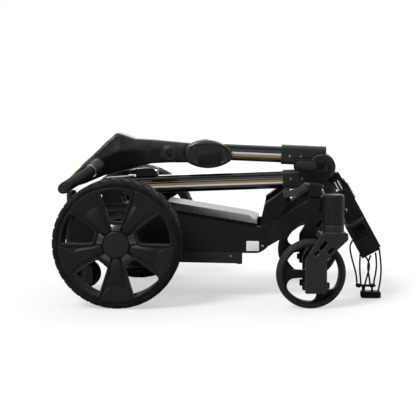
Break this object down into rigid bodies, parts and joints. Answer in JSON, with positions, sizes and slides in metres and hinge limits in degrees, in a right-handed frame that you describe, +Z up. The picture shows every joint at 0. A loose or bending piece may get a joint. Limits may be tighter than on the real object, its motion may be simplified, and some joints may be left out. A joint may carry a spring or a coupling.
{
  "type": "folded electric golf trolley",
  "caption": "Folded electric golf trolley: spoked drive wheels, swivel casters, battery chassis, hinged two-part shaft, tilting console handle, bag cradles and bungee cords.",
  "frame": {"origin": "on the floor under the middle of the trolley, halfway between its rear and front ends", "axes": "+X forward from the drive wheels to the casters, +Y to the far side, +Z up"},
  "size_m": [0.7719, 0.55, 0.3889],
  "materials": {
    "moulded_black": "fine-grained moulding",
    "gloss_black": "polished moulding",
    "black_tube": "gloss black anodised",
    "tyre_rubber": "matte rubber",
    "soft_rubber": "soft-touch rubber",
    "bright_steel": "turned",
    "black_steel": "black powder coat",
    "die_cast": "black painted casting",
    "battery_case": "moulded case",
    "webbing": "woven webbing",
    "elastic_cord": "braided elastic cord"
  },
  "bodies": {
    "chassis": {"anti_tip_post": "black_steel", "bag_strap": "webbing", "battery_lid": "gloss_black", "battery_pack": "battery_case", "caster_barrel_far": "die_cast", "caster_barrel_near": "die_cast", "chassis_tub": "moulded_black", "front_crossbeam": "die_cast", "gearmotor_far": "die_cast", "gearmotor_near": "die_cast", "lower_cradle": "moulded_black", "motor_controller": "battery_case", "pivot_bracket": "black_steel", "pivot_pin": "bright_steel", "side_frame_far": "moulded_black", "side_frame_near": "moulded_black", "skid_bails": "black_steel", "strap_buckle": "black_steel", "tray_rails": "moulded_black"},
    "lower_shaft": {"base_sleeve": "die_cast", "bungee_hook": "moulded_black", "bungee_loop_left": "elastic_cord", "bungee_loop_outer": "elastic_cord", "bungee_loop_right": "elastic_cord", "cradle_arm": "moulded_black", "cradle_rest": "moulded_black", "cradle_spine": "moulded_black", "fold_catch": "moulded_black", "fold_pin": "bright_steel", "lower_knuckle": "die_cast", "lower_tube": "black_tube"},
    "upper_shaft": {"adjuster_shells": "moulded_black", "upper_knuckle": "die_cast", "upper_tube": "black_tube"},
    "fold_lever": {"knuckle_lever": "moulded_black"},
    "handle": {"accessory_bosses": "moulded_black", "control_panel": "gloss_black", "grips": "soft_rubber", "handle_body": "moulded_black"},
    "dial": {"speed_dial": "gloss_black"},
    "button": {"power_button": "moulded_black"},
    "anti_tip_caster": {"anti_tip_fork": "black_steel"},
    "anti_tip_roller": {"anti_tip_wheel": "soft_rubber"},
    "drive_wheel_near": {"drive_axle_near": "bright_steel", "drive_rim_near": "moulded_black", "drive_tyre_near": "tyre_rubber", "hub_cap_near": "gloss_black"},
    "caster_near": {"caster_axle_near": "bright_steel", "caster_fork_near": "die_cast"},
    "caster_wheel_near": {"caster_rim_near": "moulded_black", "caster_tyre_near": "tyre_rubber"},
    "drive_wheel_far": {"drive_axle_far": "bright_steel", "drive_rim_far": "moulded_black", "drive_tyre_far": "tyre_rubber", "hub_cap_far": "gloss_black"},
    "caster_far": {"caster_axle_far": "bright_steel", "caster_fork_far": "die_cast"},
    "caster_wheel_far": {"caster_rim_far": "moulded_black", "caster_tyre_far": "tyre_rubber"}
  },
  "joints": [
    {"name": "drive_wheel_spin_near", "type": "hinge", "parent": "chassis", "child": "drive_wheel_near", "pos_m": [-0.2259, -0.233, 0.1475], "axis": [0, 1, 0], "continuous": true},
    {"name": "caster_swivel_near", "type": "hinge", "parent": "chassis", "child": "caster_near", "pos_m": [0.2641, -0.226, 0.191], "axis": [0, 0, 1], "continuous": true},
    {"name": "caster_roll_near", "type": "hinge", "parent": "caster_near", "child": "caster_wheel_near", "pos_m": [0.21447, -0.23209, 0.08], "axis": [-0.1219, 0.9925, 0], "continuous": true},
    {"name": "drive_wheel_spin_far", "type": "hinge", "parent": "chassis", "child": "drive_wheel_far", "pos_m": [-0.2259, 0.233, 0.1475], "axis": [0, 1, 0], "continuous": true},
    {"name": "caster_swivel_far", "type": "hinge", "parent": "chassis", "child": "caster_far", "pos_m": [0.2641, 0.226, 0.191], "axis": [0, 0, 1], "continuous": true},
    {"name": "caster_roll_far", "type": "hinge", "parent": "caster_far", "child": "caster_wheel_far", "pos_m": [0.21559, 0.2139, 0.08], "axis": [-0.2419, 0.9703, 0], "continuous": true},
    {"name": "anti_tip_swivel", "type": "hinge", "parent": "chassis", "child": "anti_tip_caster", "pos_m": [-0.3689, 0, 0.112], "axis": [0, 0, 1], "continuous": true},
    {"name": "anti_tip_roll", "type": "hinge", "parent": "anti_tip_caster", "child": "anti_tip_roller", "pos_m": [-0.3319, 0, 0.042], "axis": [0, 1, 0], "continuous": true},
    {"name": "shaft_raise", "type": "hinge", "parent": "chassis", "child": "lower_shaft", "pos_m": [-0.2709, 0, 0.259], "axis": [0, -1, 0], "range_deg": [0, 70]},
    {"name": "handle_unfold", "type": "hinge", "parent": "lower_shaft", "child": "upper_shaft", "pos_m": [0.2441, 0, 0.308], "axis": [0, 1, 0], "range_deg": [0, 90]},
    {"name": "knuckle_lever", "type": "hinge", "parent": "lower_shaft", "child": "fold_lever", "pos_m": [0.2501, -0.0404, 0.308], "axis": [0, 0, 1], "range_deg": [0, 110]},
    {"name": "handle_tilt", "type": "hinge", "parent": "upper_shaft", "child": "handle", "pos_m": [-0.0599, 0, 0.339], "axis": [0, 1, 0], "range_deg": [0, 20]},
    {"name": "dial_turn", "type": "hinge", "parent": "handle", "child": "dial", "pos_m": [-0.33062, 0, 0.31556], "axis": [-0.6897, 0, 0.7241], "range_deg": [0, 270]},
    {"name": "button_press", "type": "slide", "parent": "handle", "child": "button", "axis": [0.6897, 0, -0.7241], "range_m": [0, 0.002], "stiffness_N_per_m": 400}
  ],
  "couplings": [
    {"joint": "handle_unfold", "follows": "shaft_raise", "ratio": 1.2857}
  ]
}
